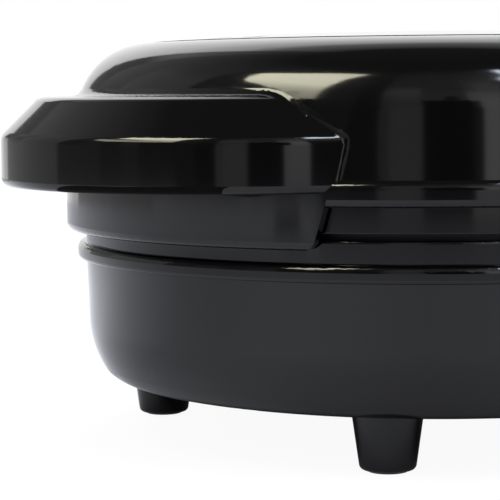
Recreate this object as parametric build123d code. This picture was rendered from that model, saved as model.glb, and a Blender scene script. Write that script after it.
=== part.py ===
from build123d import *
import math
import os

# Countertop omelette maker: a round base and a hinged lid with a moulded handle. Each half carries a heated
# cast plate with two half-moon wells. Millimetres, +Z up, the handle points to -Y and the hinge is at +Y.
# Every piece is made about the upright axis of the round body. All of them are moved together at the end, so
# that the origin is under the middle of the whole.

# The body's stack of heights, from the table up
foot_height = 15.6                      # table to the underside of the base shell
base_depth = 41.7                       # base shell, underside to rim
base_frame_height = 6.0                 # ring seen between the base shell and the gap
closed_gap = 1.7                        # gap seen between the two frame rings
lid_frame_height = 6.9
lid_height = 46.4                       # lip to crown

underside_z = foot_height
rim_z = underside_z + base_depth
base_frame_top_z = rim_z + base_frame_height
lid_frame_bottom_z = base_frame_top_z + closed_gap
lip_z = lid_frame_bottom_z + lid_frame_height
crown_z = lip_z + lid_height
parting_z = (base_frame_top_z + lid_frame_bottom_z) / 2    # where the two plates rest on each other

# Round body. Everything steps in or out from the frame rings.
frame_r = 104.0                         # both frame rings, and the base's wall under its rim
rim_proud = 2.5                         # bead round the base's rim
rim_bead_height = 5.0
rim_bead_round = 2.2
rim_bead_edge = 1.0
knee_in = 0.8                           # where the base's wall turns inwards
knee_up = 10.8
knee_share = 0.59                       # share of the slanted wall that the knee's rounding takes
floor_in = 7.0                          # where the turned-in wall meets the underside
floor_share = 0.40
lip_proud = 5.7                         # bead round the lid's lip
lip_bead = 1.4                          # bead's step out from the lid's side
lip_bead_height = 7.1
lip_bead_round = 2.2
lip_bead_top_round = 2.5
shoulder_in = 4.35                      # lid's side leans in to the shoulder
shoulder_drop = 3.6                     # shoulder's corner before it is rounded, below the crown
shoulder_round = 21.3
crown_in = 20.25                        # shoulder's corner to the edge of the crown panel's recess
crown_drop = 2.3                        # crown's fall from the middle to that edge
crown_flat_share = 0.54                 # part of the crown's radius that is level
crown_round = 600.0

rim_r = frame_r + rim_proud
lip_r = frame_r + lip_proud
lid_side_r = lip_r - lip_bead
lid_side_z = lip_z + lip_bead_height
bead_slope = lip_bead                   # the bead's top slopes at 45 degrees
shoulder_r = lid_side_r - shoulder_in
shoulder_z = crown_z - shoulder_drop
crown_r = shoulder_r - crown_in
crown_edge_z = crown_z - crown_drop
crown_flat_r = crown_r * crown_flat_share
beyond = 2 * (lip_r + crown_z)          # longer than the whole, for cuts that run right through
small_corner = 3.0                      # roundings below this radius are drawn as cubic curves
seam_gap = 0.0001                       # ends nearer than this are one point

# Walls and clearances
wall = 2.4                              # plastic shells
lid_wall = 2.5
lid_top_wall = 3.1
panel_gap = 0.3                         # groove round the crown panel
panel_thickness = 1.6
panel_edge_round = 0.4
spigot_gap = 0.3                        # frame ring's spigot inside its shell
spigot_wall = 2.3
spigot_depth = 7.0
base_frame_edge = 0.8                   # rounding of each frame ring at the gap
lid_frame_edge = 0.3
frame_ledge = 2.6                       # thickness of the ledge that carries a plate
lip_flange = 2.5                        # thickness of the ledge inside the lid's lip
lip_flange_in = 2.2                     # from the frame's outside to the ledge's opening
plate_gap = 0.3                         # plate's edge inside its frame ring
hole_play = 0.15                        # screw shank inside a through hole

# Plates
plate_in = 4.9                          # frame's outside to the plate's edge
plate_ledge = 3.7                       # how far the ledge reaches under the plate
plate_flange = 3.0
plate_wall = 3.0
well_land = 12.1                        # level rim round the wells
well_depth = 20.0
divider_half = 5.0                      # half the width of the bar between the two wells
well_corner = 12.0
well_taper = 14.0
well_foot = 7.0                         # rounding at the bottom of a well
post_circle_r = 71.0
post_angles = (25.0, 155.0, 205.0, 335.0)
post_r = 4.5
boss_root = 10.0                        # posts and bosses start this far down, inside the wells' walls
clamp_angles = (50.0, 130.0, 230.0, 310.0)
clamp_half_pitch = 8.0                  # from the heater's centre line to each clamp screw
clamp_boss_r = 3.2

plate_r = frame_r - plate_in
frame_inner_r = plate_r - plate_ledge
well_r = plate_r - well_land
well_under_z = parting_z - well_depth - plate_wall

# Heaters and reflectors
heater_r = 3.3
heater_post_gap = 1.2                   # between the loop and the posts outside it
heater_gap_angle = 30.0                 # opening of the loop, towards the hinge
heater_pin_r = 1.6
heater_pin_length = 9.0
heater_pin_root = 0.5
clamp_thickness = 1.2
clamp_width = 9.0
reflector_air = 3.6                     # between the clamp screws' heads and the reflector
reflector_thickness = 0.8
reflector_land = 7.0                    # level part outside the posts' circle
reflector_rim_out = 3.5                 # turned-up edge
reflector_rim_up = 6.0

# Screws: shank radius, head radius, head height
case_screw = (1.75, 3.4, 2.2)
clamp_screw = (1.2, 2.3, 1.6)
foot_screw = (1.5, 3.0, 1.8)
boss_r = 6.2
counterbore_r = 4.0
screw_seat = 4.5                        # plastic left under a case screw's head in the base
lid_screw_seat = 1.5
screw_bite = 11.0                       # how far a case screw runs into the plate's post
bite_room = 1.0                         # the hole is deeper than the screw
clamp_bite = 5.0

heater_ring_r = post_circle_r - post_r - heater_r - heater_post_gap
reflector_floor_r = post_circle_r + reflector_land
clamp_z = well_under_z - 2 * heater_r   # clamp bars hang from here
reflector_drop = parting_z - clamp_z + clamp_thickness + clamp_screw[2] + reflector_air
reflector_z = parting_z - reflector_drop - reflector_thickness
upper_reflector_z = 2 * parting_z - reflector_z

# Feet
foot_in = 13.0                          # from the edge of the base's floor
foot_names = {"foot_front_left": 315, "foot_front_right": 45, "foot_rear_right": 135, "foot_rear_left": 225}
foot_bottom_r = 7.55
foot_top_r = 10.1
foot_edge_round = 1.5
foot_bury = 3.0                         # drawn into the base, then cut to its rounded underside
pad_margin = 1.85                       # pad's edge from the foot's edge
pad_thickness = 2.0
pad_proud = 0.5
pad_round = 0.5
foot_head_play = 0.4
foot_seat = 5.0                         # screw head's recess above the pad
foot_boss_r = 5.2
foot_boss_height = 8.0
foot_boss_roof = 1.5                    # left closed above the screw's hole

# Vents in the base's floor
vent_pitch = 11.0
vent_length = 28.0
vent_width = 4.0
vent_y = 26.0

# Handle and skirt
handle_reach = 25.5                     # handle's front edge beyond the lip
handle_r = 73.0                         # it is turned about an upright axis of its own
handle_rise = 3.6                       # underside above the lip
handle_height = 24.9
slope_in = 11.0                         # sloped face, inwards from the upright edge
slope_drop = 10.8                       # and down from the flat top
handle_bottom_round = 2.3
handle_edge_round = 3.5
handle_top_round = 4.0
handle_overlap = 5.0                    # drawn into the dome
seam_round = 3.5                        # hollow rounding where the handle runs into the lid's side
handle_wall = 2.5
handle_floor = 2.0
handle_slope_wall = 1.2
handle_rib = 1.8
handle_rib_pitch = 25.0
handle_hollow_half = 60.0               # half the width of the hollow inside the handle
handle_boss_pitches = 1.6               # bosses stand between the ribs
handle_boss_r = 3.5
handle_boss_bore = 10.0
handle_screw_length = 9.0
skirt_hang = 2.5                        # how far the skirt covers the base's frame ring
skirt_bottom_half = 65.6                # half width at the bottom
skirt_lean = 4.7                        # how far each end slants outwards to the handle
skirt_corner = 4.0
skirt_edge = 2.2
skirt_gap = 1.8                         # between the skirt and the frame rings
skirt_root = 1.0

handle_centre_y = handle_r - lip_r - handle_reach
handle_bottom_z = lip_z + handle_rise
handle_top_z = handle_bottom_z + handle_height
slope_r = handle_r - slope_in
slope_z = handle_top_z - slope_drop
skirt_bottom_z = base_frame_top_z - skirt_hang

# Hinge
hinge_out = 8.3                         # pin's axis beyond the lip
hinge_up = 0.7                          # and above the base's frame ring
knuckle_r = 7.0
lid_knuckle_half = 29.5
knuckle_play = 0.5                      # lid's knuckle to each ear
ear_width = 8.0
ear_root = 17.3                         # ears leave the base's wall this far under the rim
ear_round = 1.2
pin_r = 2.0
pin_clearance = 0.05
cover_rise = 20.0                       # hinge cover's top above the lip
cover_lean = 2.0                        # cover's sides lean in towards its top
cover_out = 2.5                         # cover's ridge beyond the pin's axis
cover_fall = 7.5                        # ridge below the cover's top
cover_corner = 7.0
cover_ridge_round = 7.0
cover_edge_round = 2.0
hinge_web = 3.0

hinge_y = lip_r + hinge_out
hinge_z = base_frame_top_z + hinge_up
ear_inner_x = lid_knuckle_half + knuckle_play
ear_outer_x = ear_inner_x + ear_width

# Cord inlet and terminal block
inlet_rise = 20.4                       # inlet's axis above the underside
inlet_neck_r = 6.5
inlet_flange_r = 9.5
inlet_inner_flange_r = 8.5
inlet_bore_r = 3.6
inlet_proud = 5.0                       # beyond the base's wall
inlet_flange_root = 6.0
inlet_tail = 8.0                        # inwards of the wall
block_half = 15.0
block_in = 24.0                         # from the frame's outside to the block's front
block_depth = 8.0
block_height = 15.0
block_pitch = 9.0
block_wire_r = 1.6
block_screw_r = 2.2
block_wire_z = 6.0
block_screw_z = 9.0
notch_play = 3.0                        # round the block where it passes the reflector

inlet_z = underside_z + inlet_rise
inlet_outer_y = frame_r + inlet_proud
inlet_inner_y = frame_r - inlet_tail
block_y0 = frame_r - block_in

# Thermostat and thermal fuses
sensor_x = 36.0                         # from the middle
thermostat_rim = (8.0, 5.0)             # radius and height
thermostat_body = (6.8, 4.5)
tab_half = (3.0, 15.0)
tab_thickness = 0.8
tab_drop = 7.6
fuse_body = (2.0, 6.0)                  # radius and half length
fuse_lead = (0.5, 15.0)

# Indicators
lens_r = 4.0
lens_x = 9.0
lens_in = 15.7                          # from the crown panel's edge
lens_flange_r = 5.2
lens_flange = 1.2
lens_wall = 1.2
lens_proud = 0.9                        # above the recess's edge
lamp_r = 2.2
lamp_air = 0.5
holder_half = (18.0, 6.5)
holder_air = 3.45                       # between the holder and the reflector under it

lens_y = -(crown_r - lens_in)
lid_top_under_z = crown_edge_z - lid_top_wall
holder_bottom_z = upper_reflector_z + holder_air


def inset(points, depth):
    """Corner points of an open outline moved to its left by depth."""
    lines = []
    for (x0, z0), (x1, z1) in zip(points, points[1:]):
        length = math.hypot(x1 - x0, z1 - z0)
        nx, nz = -(z1 - z0) / length, (x1 - x0) / length
        lines.append((nx, nz, nx * x0 + nz * z0 + depth))
    first = (points[0][0] + lines[0][0] * depth, points[0][1] + lines[0][1] * depth)
    last = (points[-1][0] + lines[-1][0] * depth, points[-1][1] + lines[-1][1] * depth)
    corners = [first]
    for (a, b, c), (d, e, f) in zip(lines, lines[1:]):
        det = a * e - b * d
        corners.append(((c * e - b * f) / det, (a * f - c * d) / det))
    return corners + [last]


def rounding(before, corner, after, run):
    """Radius of a rounded corner that leaves its two straight sides at the distance run from the corner."""
    a = math.atan2(corner[1] - before[1], corner[0] - before[0])
    b = math.atan2(after[1] - corner[1], after[0] - corner[0])
    return run / math.tan(abs(b - a) / 2)


def tangent_point(start, centre, radius, side):
    """Where a straight line from start touches a circle, on its left (side 1) or right (side -1)."""
    dx, dy = centre[0] - start[0], centre[1] - start[1]
    span = math.hypot(dx, dy)
    turn = math.atan2(dy, dx) + side * math.asin(radius / span)
    reach = math.sqrt(span * span - radius * radius)
    return start[0] + reach * math.cos(turn), start[1] + reach * math.sin(turn)


def outline(points, radii):
    """Flat face with rounded corners, drawn with local x and y. Small corners are cubic curves, which mesh
    more evenly than arcs when they are turned into a bead on a big ring."""
    starts, ends, curves = [], [], []
    for k, corner in enumerate(points):
        here = Vector(*corner)
        back = (Vector(*points[k - 1]) - here).normalized()
        ahead = (Vector(*points[(k + 1) % len(points)]) - here).normalized()
        turn = math.pi - math.radians(back.get_angle(ahead))
        run = radii[k] * math.tan(turn / 2)
        pull = run - radii[k] * math.tan(turn / 4) * 4 / 3
        starts.append(here + back * run)
        ends.append(here + ahead * run)
        if 0 < radii[k] < small_corner:
            curves.append(Bezier(starts[k], here + back * pull, here + ahead * pull, ends[k]))
        elif radii[k]:
            curves.append(TangentArc(starts[k], ends[k], tangent=-back))
    for k in range(len(points)):
        if (starts[k] - ends[k - 1]).length > seam_gap:
            curves.append(Line(ends[k - 1], starts[k]))
    return make_face(curves)


def lathe(points, radii=None):
    """Full turn about Z of an outline given as radius and height pairs."""
    if radii:
        return revolve(Plane.XZ * outline(points, radii), Axis.Z, 360)
    return revolve(Plane.XZ * make_face(Polyline(*points, close=True)), Axis.Z, 360)


def slab(face, half_width, centre_x=0.0):
    """Face drawn in Y and Z, made as wide as twice half_width along X."""
    return Pos(centre_x, 0, 0) * extrude(Plane.YZ * face, amount=half_width, both=True)


def disc(radius, low, high):
    return Pos(0, 0, low) * Cylinder(radius, high - low, align=(Align.CENTER, Align.CENTER, Align.MIN))


def at(radius, angle):
    """Point on a circle. Angles run from the front, -Y, towards +X."""
    a = math.radians(angle)
    return radius * math.sin(a), -radius * math.cos(a)


def spot(radius, angle):
    return Pos(*at(radius, angle), 0)


def rod_x(radius, x0, x1, y, z):
    bar = Cylinder(radius, x1 - x0, rotation=(0, 90, 0))
    return Pos((x0 + x1) / 2, y, z) * bar


def rod_y(radius, y0, y1, x, z):
    bar = Cylinder(radius, y1 - y0, rotation=(90, 0, 0))
    return Pos(x, (y0 + y1) / 2, z) * bar


def box(x0, x1, y0, y1, z0, z1):
    return Pos((x0 + x1) / 2, (y0 + y1) / 2, (z0 + z1) / 2) * Box(x1 - x0, y1 - y0, z1 - z0)


def mirrored(shape):
    """The lid's copy of a piece made for the base."""
    return mirror(shape, about=Plane.XY.offset(parting_z))


def case_screw_solid(head_z, tip_z):
    """Pan-head screw. The head lies on the far side of head_z, seen from the tip."""
    shank, head, height = case_screw
    low, high = sorted((head_z, tip_z))
    far = head_z - height if head_z < tip_z else head_z + height
    return disc(shank, low, high) + disc(head, min(far, head_z), max(far, head_z))


parts = {}

# Base shell: a lathe-turned bowl with a bead at the rim
knee = (frame_r - knee_in, underside_z + knee_up)
floor_corner = (frame_r - floor_in, underside_z)
slant = math.hypot(knee[0] - floor_corner[0], knee[1] - floor_corner[1])
bead_root = (frame_r, rim_z - rim_bead_height)
floor_round = rounding((0, underside_z), floor_corner, knee, floor_share * slant)
knee_round = rounding(floor_corner, knee, bead_root, knee_share * slant)
base_outside = [(0, underside_z), floor_corner, knee, bead_root]
base_inside = inset(base_outside, wall)
mouth_r = frame_r - wall
rim_corner = (rim_r, rim_z - rim_bead_height)
rim_rounds = [rim_bead_edge, rim_bead_round]
base_shell = lathe(
    base_outside + [rim_corner, (rim_r, rim_z), (mouth_r, rim_z)] + base_inside[:0:-1] + [base_inside[0]],
    [0, floor_round, knee_round, 0] + rim_rounds + [0, 0, knee_round - wall, floor_round - wall, 0],
)
base_solid = lathe(base_outside + [rim_corner, (rim_r, rim_z), (0, rim_z)],
                   [0, floor_round, knee_round, 0, 0, 0, 0])
base_hollow = lathe(base_inside + [(mouth_r, rim_z), (0, rim_z)],
                    [0, floor_round - wall, knee_round - wall, 0, 0, 0])
floor_z = underside_z + wall

# Hinge ears on the base. Each is a gusset that runs tangent into a knuckle round the pin.
hinge = (hinge_y, hinge_z)
ear_low = (frame_r - knee_in, rim_z - ear_root)
ear_high = (frame_r - wall, rim_z)
ear_profile = [
    (mouth_r - 3 * wall, ear_low[1]), ear_low, tangent_point(ear_low, hinge, knuckle_r, -1), hinge,
    tangent_point(ear_high, hinge, knuckle_r, 1), ear_high, (mouth_r - 3 * wall, rim_z),
]
ear_face = make_face(Polyline(*ear_profile, close=True)) + Pos(*hinge) * Circle(knuckle_r)
for side in (-1, 1):
    ear = slab(ear_face, ear_width / 2, side * (ear_inner_x + ear_outer_x) / 2)
    outer = [e for e in ear.faces().filter_by(Axis.X).sort_by(Axis.X)[-1 if side > 0 else 0].edges()
             if e.center().Y > rim_r]
    ear = fillet(outer, ear_round)
    ear -= disc(frame_r + spigot_gap, rim_z, beyond)
    ear -= base_hollow
    base_shell += ear
base_shell -= rod_x(pin_r, -ear_outer_x, ear_outer_x, hinge_y, hinge_z)

# Screw bosses, foot bosses, vents and the cord inlet's hole
shank_r, head_r, head_height = case_screw
foot_circle_r = floor_corner[0] - foot_in
for angle in post_angles:
    here = spot(post_circle_r, angle)
    base_shell += here * disc(boss_r, underside_z, reflector_z)
    base_shell -= here * disc(shank_r + hole_play, underside_z, reflector_z)
    base_shell -= here * disc(counterbore_r, underside_z, reflector_z - screw_seat)
for angle in foot_names.values():
    here = spot(foot_circle_r, angle)
    base_shell += here * disc(foot_boss_r, floor_z - wall / 2, floor_z + foot_boss_height)
    base_shell -= here * disc(foot_screw[0], underside_z, floor_z + foot_boss_height - foot_boss_roof)
for k in range(-3, 4):
    for y in (-vent_y, vent_y):
        slot = extrude(SlotOverall(vent_length, vent_width, rotation=90), amount=3 * wall, both=True)
        base_shell -= Pos(k * vent_pitch, y, floor_z) * slot
base_shell -= rod_y(inlet_neck_r, inlet_inner_y - inlet_tail, beyond, 0, inlet_z)
parts["base_shell"] = base_shell

# Frame rings between the shells and the plates
def frame_ring(outer_z, mating_z, spigot_r, edge_round):
    """Ring from its shell, at outer_z, to the parting side. It has a ledge for the plate and a spigot."""
    up = 1 if mating_z > outer_z else -1
    ledge_z = parting_z - up * plate_flange
    under_z = ledge_z - up * frame_ledge
    return lathe([
        (frame_r, outer_z), (frame_r, mating_z), (plate_r + plate_gap, mating_z),
        (plate_r + plate_gap, ledge_z), (frame_inner_r, ledge_z), (frame_inner_r, under_z),
        (spigot_r - spigot_wall, under_z),
        (spigot_r - spigot_wall, outer_z - up * spigot_depth), (spigot_r, outer_z - up * spigot_depth),
        (spigot_r, outer_z),
    ], [0, edge_round] + [0] * 8)


lip_flange_r = frame_r - lip_flange_in
parts["base_frame"] = frame_ring(rim_z, base_frame_top_z, mouth_r - spigot_gap, base_frame_edge)
parts["lid_frame"] = frame_ring(lip_z, lid_frame_bottom_z, lip_flange_r - spigot_gap, lid_frame_edge)

# Cast plates: flange, two half-moon wells, posts for the case screws and bosses for the heater clamps
def half_moon(side, grow):
    edge_x = divider_half - grow
    flat = Circle(well_r + grow) & Pos(side * (edge_x + beyond / 2), 0) * Rectangle(beyond, beyond)
    return fillet(flat.vertices(), well_corner + grow)


def well(side, grow):
    """Solid of one well, from the parting plane down. grow makes the outside of its wall."""
    blank = extrude(Pos(0, 0, parting_z) * half_moon(side, grow), amount=well_depth + grow,
                    dir=(0, 0, -1), taper=well_taper)
    foot = blank.edges().group_by(Axis.Z)[0]
    return fillet(foot, well_foot + grow)


post_low_z = parting_z - reflector_drop
clamp_reaches = (heater_ring_r - clamp_half_pitch, heater_ring_r + clamp_half_pitch)
plate = disc(plate_r, parting_z - plate_flange, parting_z)
for side in (-1, 1):
    plate += well(side, plate_wall)
for angle in post_angles:
    plate += spot(post_circle_r, angle) * disc(post_r, post_low_z, parting_z - boss_root)
for angle in clamp_angles:
    for reach in clamp_reaches:
        plate += spot(reach, angle) * disc(clamp_boss_r, clamp_z, parting_z - boss_root)
for side in (-1, 1):
    plate -= well(side, 0.0)
for angle in post_angles:
    plate -= spot(post_circle_r, angle) * disc(shank_r, post_low_z, post_low_z + screw_bite + bite_room)
for angle in clamp_angles:
    for reach in clamp_reaches:
        plate -= spot(reach, angle) * disc(clamp_screw[0], clamp_z, well_under_z)
parts["lower_plate"] = plate
parts["upper_plate"] = mirrored(plate)

# Tubular heaters: a loop open towards the hinge, with a thin cold pin at each end
heater_z = well_under_z - heater_r
tube = Plane.XZ * Pos(heater_ring_r, heater_z) * Circle(heater_r)
loop = revolve(tube, Axis.Z, 360 - heater_gap_angle)
loop = Rot(0, 0, 90 + heater_gap_angle / 2) * loop
for side in (-1, 1):
    x, y = at(heater_ring_r, 180 - side * heater_gap_angle / 2)
    turn = -side * heater_gap_angle / 2
    pin = Cylinder(heater_pin_r, heater_pin_length, rotation=(0, 90, 0))
    middle = -side * (heater_pin_length / 2 - heater_pin_root)
    loop += Pos(x, y, heater_z) * Rot(0, 0, turn) * Pos(middle, 0, 0) * pin
parts["lower_heater"] = loop
parts["upper_heater"] = mirrored(loop)

# Clamp bars under the heater, and their screws
bars = []
clamp_screws = []
bar_length = 2 * clamp_half_pitch + clamp_width
clamp_seat_z = clamp_z - clamp_thickness
for angle in clamp_angles:
    flat = SlotOverall(bar_length, clamp_width, rotation=90)
    flat -= Pos(0, clamp_half_pitch) * Circle(clamp_screw[0])
    flat -= Pos(0, -clamp_half_pitch) * Circle(clamp_screw[0])
    bar = Pos(0, -heater_ring_r, clamp_seat_z) * extrude(flat, amount=clamp_thickness)
    bars.append(Rot(0, 0, angle) * bar)
    for reach in clamp_reaches:
        shank, head, height = clamp_screw
        screw = disc(head, clamp_seat_z - height, clamp_seat_z)
        screw += disc(shank, clamp_seat_z, clamp_z + clamp_bite)
        clamp_screws.append(spot(reach, angle) * screw)
parts["lower_heater_clamps"] = Compound(bars)
parts["lower_clamp_screws"] = Compound(clamp_screws)
parts["upper_heater_clamps"] = mirrored(Compound(bars))
parts["upper_clamp_screws"] = mirrored(Compound(clamp_screws))

# Reflector dishes, held between the plate's posts and the shell's bosses
dish = [(0, reflector_z), (reflector_floor_r, reflector_z),
        (reflector_floor_r + reflector_rim_out, reflector_z + reflector_rim_up)]
reflector = lathe(dish + inset(dish, reflector_thickness)[::-1])
for angle in post_angles:
    reflector -= spot(post_circle_r, angle) * disc(shank_r + hole_play, 0, parting_z)
parts["upper_reflector"] = mirrored(reflector)
notch_half = block_half + notch_play
notch = box(-notch_half, notch_half, block_y0 - notch_play, beyond, 0, parting_z)
parts["lower_reflector"] = reflector - notch

# Parts on the underside of the lower plate: thermostat and thermal fuse
rim_radius, rim_height = thermostat_rim
body_radius, body_height = thermostat_body
body_z = well_under_z - rim_height
tab_z = well_under_z - tab_drop
thermostat = Pos(sensor_x, 0, 0) * (disc(rim_radius, body_z, well_under_z)
                                    + disc(body_radius, body_z - body_height, body_z))
thermostat += box(sensor_x - tab_half[0], sensor_x + tab_half[0], -tab_half[1], tab_half[1],
                  tab_z - tab_thickness, tab_z)
parts["thermostat"] = thermostat


def thermal_fuse(x):
    radius, half = fuse_body
    lead_radius, lead_half = fuse_lead
    body = rod_y(radius, -half, half, x, well_under_z - radius)
    return body + rod_y(lead_radius, -lead_half, lead_half, x, well_under_z - radius)


parts["thermal_fuse"] = thermal_fuse(-sensor_x)
parts["upper_thermal_fuse"] = mirrored(thermal_fuse(sensor_x))

# Terminal block on the base's floor, behind the reflector
block_y1 = block_y0 + block_depth
block_top_z = floor_z + block_height
block = box(-block_half, block_half, block_y0, block_y1, floor_z, block_top_z)
for k in (-1, 0, 1):
    block -= rod_y(block_wire_r, block_y0 - wall, block_y1 + wall, k * block_pitch, floor_z + block_wire_z)
    well_spot = Pos(k * block_pitch, block_y0 + block_depth / 2, 0)
    block -= well_spot * disc(block_screw_r, floor_z + block_screw_z, block_top_z + wall)
parts["terminal_block"] = block

# Cord inlet bush through the rear wall
gland = rod_y(inlet_flange_r, frame_r - inlet_flange_root, inlet_outer_y, 0, inlet_z) - base_solid
gland += rod_y(inlet_neck_r, inlet_inner_y, inlet_outer_y, 0, inlet_z)
gland += rod_y(inlet_inner_flange_r, inlet_inner_y, frame_r, 0, inlet_z) & base_hollow
gland -= rod_y(inlet_bore_r, inlet_inner_y - inlet_tail, beyond, 0, inlet_z)
parts["cord_gland"] = gland

# Feet, pads and the screws that hold them
pads = []
foot_screws = []
pad_r = foot_bottom_r - pad_margin
shank, head, height = foot_screw
seat_z = pad_thickness + foot_seat
foot_top_z = underside_z + foot_bury
for name, angle in foot_names.items():
    here = spot(foot_circle_r, angle)
    foot = lathe([(0, pad_proud), (foot_bottom_r, pad_proud), (foot_top_r, foot_top_z), (0, foot_top_z)],
                 [0, foot_edge_round, 0, 0])
    foot -= disc(pad_r, 0, pad_thickness)
    foot -= disc(head + foot_head_play, 0, seat_z)
    foot -= disc(shank, 0, foot_top_z + wall)
    parts[name] = here * foot - base_solid
    pads.append(here * lathe([(0, 0), (pad_r, 0), (pad_r, pad_thickness), (0, pad_thickness)],
                             [0, pad_round, 0, 0]))
    tip_z = floor_z + foot_boss_height - foot_boss_roof - pad_round
    foot_screws.append(here * (disc(head, seat_z - height, seat_z) + disc(shank, seat_z, tip_z)))
parts["foot_pads"] = Compound(pads)
parts["foot_screws"] = Compound(foot_screws)

# Case screws from below, through the shell's bosses and the reflector into the plate's posts
case_screws = []
for angle in post_angles:
    case_screws.append(spot(post_circle_r, angle) * case_screw_solid(reflector_z - screw_seat,
                                                                     post_low_z + screw_bite))
parts["base_screws"] = Compound(case_screws)

# Hinge pin, fixed in the base's ears
parts["hinge_pin"] = rod_x(pin_r, -ear_outer_x, ear_outer_x, hinge_y, hinge_z)

# Lid shell: a dome with a lip, drawn from the crown outwards
shoulder = (shoulder_r, shoulder_z)
side_low = (lid_side_r, lid_side_z)
dome_outside = [
    (0, crown_z), (crown_flat_r, crown_z), (crown_r, crown_edge_z), shoulder,
    side_low, (lip_r, lid_side_z - bead_slope), (lip_r, lip_z),
]
dome_radii = [0, crown_round, 0, shoulder_round, 0, lip_bead_top_round, lip_bead_round]
dome_solid = lathe(dome_outside + [(0, lip_z)], dome_radii + [0])
side_inside = inset([shoulder, side_low], -lid_wall)
side_slope = (side_inside[1][0] - side_inside[0][0]) / (side_inside[1][1] - side_inside[0][1])


def side_inner_r(z):
    return side_inside[1][0] + side_slope * (z - side_inside[1][1])


ledge_z = lip_z + lip_flange
hollow_low_z = lip_z - lip_flange
dome_hollow = lathe(
    [(0, lid_top_under_z), (side_inner_r(lid_top_under_z), lid_top_under_z), (side_inner_r(ledge_z), ledge_z),
     (lip_flange_r, ledge_z), (lip_flange_r, hollow_low_z), (0, hollow_low_z)],
    [0, shoulder_round - lid_top_wall, 0, 0, 0, 0],
)

# Handle: turned about its own axis, sloped face above an upright edge
at_handle = Pos(0, handle_centre_y, 0)
handle_solid = at_handle * lathe(
    [(0, handle_bottom_z), (handle_r, handle_bottom_z), (handle_r, slope_z), (slope_r, handle_top_z),
     (0, handle_top_z)],
    [0, handle_bottom_round, handle_edge_round, handle_top_round, 0],
)
handle_solid -= box(-beyond, beyond, handle_centre_y + handle_overlap, beyond, 0, beyond)

# Skirt under the handle. Its ends are cut along the radius and slant inwards to the bottom.
skirt_top_z = handle_bottom_z + skirt_root
skirt_inner_r = frame_r + skirt_gap
skirt = lathe(
    [(skirt_inner_r, skirt_bottom_z), (lip_r, skirt_bottom_z),
     (lip_r, skirt_top_z), (skirt_inner_r, skirt_top_z)],
    [0, skirt_edge, 0, 0],
)
skirt_end_angle = math.degrees(math.asin(skirt_bottom_half / lip_r))
for side in (-1, 1):
    end_face = outline(
        [(-side * beyond, skirt_top_z), (-side * beyond, skirt_bottom_z), (0, skirt_bottom_z),
         (side * skirt_lean, skirt_top_z)],
        [0, 0, skirt_corner, 0],
    )
    skirt &= Rot(0, 0, side * skirt_end_angle) * extrude(Plane.XZ * end_face, amount=beyond)

# Hinge cover and knuckle on the lid. The cover is a rounded cap, hollow from below on both sides of a web.
cover_top_z = lip_z + cover_rise
cover_ridge = (hinge_y + cover_out, cover_top_z - cover_fall)
cover_back = (hinge_y + knuckle_r, hinge_z)
cover_start = (lid_side_r - lip_flange_in, cover_top_z)
cover_profile = outline(
    [(mouth_r, lip_z), (mouth_r, cover_top_z), cover_start, cover_ridge, cover_back, hinge,
     (hinge_y - knuckle_r, hinge_z + pin_r), (lip_r - lip_bead, lip_z)],
    [0, 0, 0, cover_ridge_round, 0, 0, 0, 0],
)


def cover_front(trim):
    """The cover as seen from behind, in X and Z. trim makes it smaller all round for the hollow."""
    half = lid_knuckle_half - trim
    top = half - cover_lean
    face = outline(
        [(-half, hinge_z - 2 * knuckle_r), (half, hinge_z - 2 * knuckle_r), (half, hinge_z + knuckle_r),
         (top, cover_top_z - trim), (-top, cover_top_z - trim), (-half, hinge_z + knuckle_r)],
        [0, 0, 0, cover_corner - trim, cover_corner - trim, 0],
    )
    return extrude(Plane.XZ * face, amount=-beyond)


knuckle = rod_x(knuckle_r, -lid_knuckle_half, lid_knuckle_half, hinge_y, hinge_z)
cover = slab(cover_profile, lid_knuckle_half) & cover_front(0.0)
rims = [e for e in cover.edges()
        if e.center().Y > lip_r and e.center().Z > hinge_z + knuckle_r / 2
        and abs(e.center().X) > lid_knuckle_half - cover_lean - cover_corner]
cover = fillet(rims, cover_edge_round)
pocket_line = inset([cover_start, cover_ridge, cover_back], -lid_wall)
lean_y = pocket_line[0][0] - pocket_line[1][0]
lean_z = pocket_line[0][1] - pocket_line[1][1]
pocket_y = lip_r + plate_gap
pocket_top = (pocket_y, pocket_line[1][1] + (pocket_y - pocket_line[1][0]) * lean_z / lean_y)
pocket_face = make_face(Polyline(
    (pocket_y, hinge_z - knuckle_r - lid_wall), pocket_top, pocket_line[1], pocket_line[2],
    (hinge_y, hinge_z), (hinge_y, hinge_z - knuckle_r - lid_wall), close=True,
))
pocket_half = (lid_knuckle_half - 1.5 * hinge_web) / 2
for side in (-1, 1):
    pocket = slab(pocket_face, pocket_half, side * (hinge_web / 2 + pocket_half))
    cover -= (pocket & cover_front(lid_wall)) - knuckle
cover += knuckle

lid_shell = dome_solid + handle_solid + skirt + cover
seam = []
for edge in lid_shell.edges():
    mid = edge.center()
    on_side = shoulder_r - seam_round < math.hypot(mid.X, mid.Y) < lip_r
    if mid.Y < handle_centre_y and lid_side_z < mid.Z < handle_top_z + seam_round and on_side:
        seam.append(edge)
lid_shell = fillet(seam, seam_round)
lid_shell -= dome_hollow
handle_roof_z = handle_top_z - handle_wall
handle_hollow = at_handle * lathe(
    [(0, 0), (handle_r - handle_wall, 0), (handle_r - handle_wall, slope_z - handle_slope_wall),
     (slope_r - handle_slope_wall, handle_roof_z), (0, handle_roof_z)],
)
handle_front = box(-handle_hollow_half, handle_hollow_half, -beyond, handle_centre_y, handle_bottom_z, beyond)
cavity = (handle_hollow & handle_front) - dome_solid - disc(lip_r, 0, lid_side_z)
lid_shell -= cavity
floor_top_z = handle_bottom_z + handle_floor
above_floor = box(-beyond, beyond, -beyond, handle_centre_y, floor_top_z, beyond)
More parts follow.
